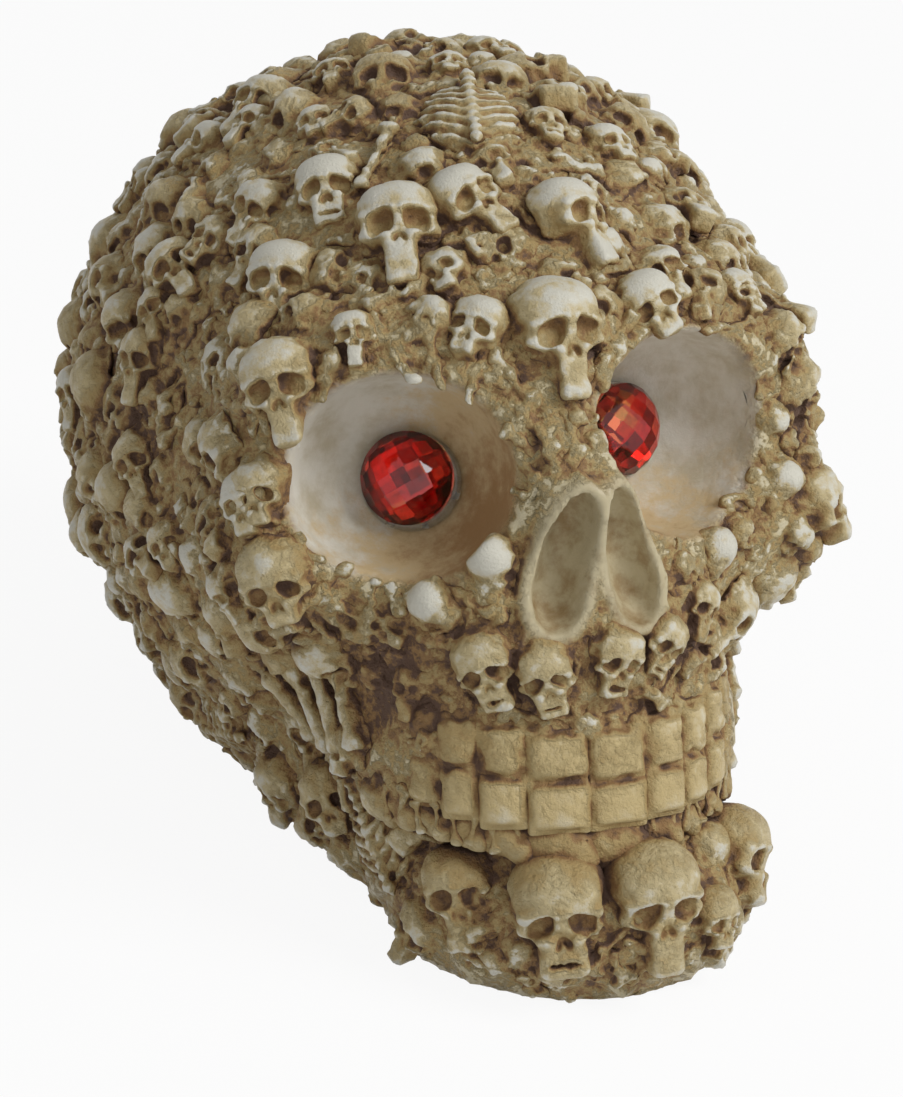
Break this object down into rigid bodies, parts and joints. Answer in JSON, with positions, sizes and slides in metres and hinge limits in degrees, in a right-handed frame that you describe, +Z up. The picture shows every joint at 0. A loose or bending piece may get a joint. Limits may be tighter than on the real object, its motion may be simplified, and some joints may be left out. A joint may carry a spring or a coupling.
{
  "type": "skull ornament",
  "caption": "Hollow cast resin skull that lies back on its jaw and is covered in relief skulls and bones, with a faceted red stone glued into each eye socket.",
  "frame": {"origin": "on the surface that the skull lies on, in its mirror plane, under the front of its brain case", "axes": "+Z up from that surface; the face looks along -Y; +X is the skull's own left side"},
  "size_m": [0.1507, 0.2183, 0.1541],
  "materials": {
    "ivory_resin": "cast ivory resin with a brown wash in its hollows, silky on its high spots",
    "relief_resin": "cast ivory resin, wiped clean and silky on the domes, brown wash round their edges",
    "tooth_resin": "cast ivory resin with brown wash between the teeth",
    "red_acrylic": "clear deep red, faceted and polished",
    "mirror_foil": "silver mirror backing",
    "clear_glue": "clear set glue, uneven at its edge"
  },
  "bodies": {
    "root": {"cheek_post_left_1": "relief_resin", "cheek_post_left_2": "relief_resin", "cheek_post_left_3": "relief_resin", "cheek_post_right_1": "relief_resin", "cheek_post_right_2": "relief_resin", "cheek_post_right_3": "relief_resin", "cheek_post_right_4": "relief_resin", "eye_stone_left": "red_acrylic", "eye_stone_right": "red_acrylic", "glue_bed_left": "clear_glue", "glue_bed_right": "clear_glue", "long_bone_back": "relief_resin", "long_bone_forehead": "relief_resin", "lower_teeth": "tooth_resin", "mirror_foil_left": "mirror_foil", "mirror_foil_right": "mirror_foil", "rib_cage_back": "relief_resin", "rib_cage_crown": "relief_resin", "rib_cage_jaw": "relief_resin", "skull_shell": "ivory_resin", "small_skull_back_left": "relief_resin", "small_skull_back_right": "relief_resin", "small_skull_brow_left_down": "relief_resin", "small_skull_brow_left_edge": "relief_resin", "small_skull_brow_right_mid": "relief_resin", "small_skull_brow_tiny": "relief_resin", "small_skull_cheek_back": "relief_resin", "small_skull_cheek_skull": "relief_resin", "small_skull_chin_left": "relief_resin", "small_skull_chin_outer_left": "relief_resin", "small_skull_chin_outer_right": "relief_resin", "small_skull_chin_right": "relief_resin", "small_skull_crown_right": "relief_resin", "small_skull_crown_right_back": "relief_resin", "small_skull_crown_top": "relief_resin", "small_skull_forehead_lean": "relief_resin", "small_skull_forehead_long_jaw": "relief_resin", "small_skull_forehead_middle": "relief_resin", "small_skull_forehead_pair": "relief_resin", "small_skull_forehead_small_right": "relief_resin", "small_skull_forehead_turned": "relief_resin", "small_skull_jaw_corner": "relief_resin", "small_skull_lip_left": "relief_resin", "small_skull_lip_outer_left": "relief_resin", "small_skull_lip_outer_right": "relief_resin", "small_skull_lip_right": "relief_resin", "small_skull_side_back": "relief_resin", "small_skull_side_dark_eye": "relief_resin", "small_skull_side_left": "relief_resin", "small_skull_side_left_low": "relief_resin", "small_skull_side_long_dome": "relief_resin", "small_skull_side_lower_right_look": "relief_resin", "small_skull_socket_rim_skull": "relief_resin", "small_skull_socket_side_dome": "relief_resin", "small_skull_temple_left": "relief_resin", "small_skull_temple_turned": "relief_resin", "upper_teeth": "tooth_resin"}
  },
  "joints": []
}
